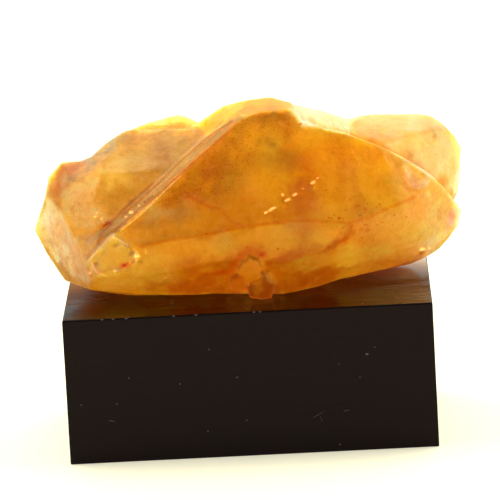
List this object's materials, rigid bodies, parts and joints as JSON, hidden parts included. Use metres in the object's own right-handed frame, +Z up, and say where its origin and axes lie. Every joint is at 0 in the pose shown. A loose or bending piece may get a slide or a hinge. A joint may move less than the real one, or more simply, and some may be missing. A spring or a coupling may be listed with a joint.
{
  "type": "calcite specimen",
  "caption": "Group of amber calcite crystals resting on a plain rectangular black display block.",
  "frame": {"origin": "centre of the display block's underside", "axes": "+X to the right along the block's length, +Y away from the viewer, +Z up"},
  "size_m": [0.0715, 0.04, 0.054],
  "materials": {
    "amber_calcite": "satin natural crystal faces, cloudy amber inside, rust-coloured specks",
    "black_block": "matt, finely brushed sides and a glossier satin top"
  },
  "bodies": {
    "root": {"calcite": "amber_calcite", "display_block": "black_block"}
  },
  "joints": []
}
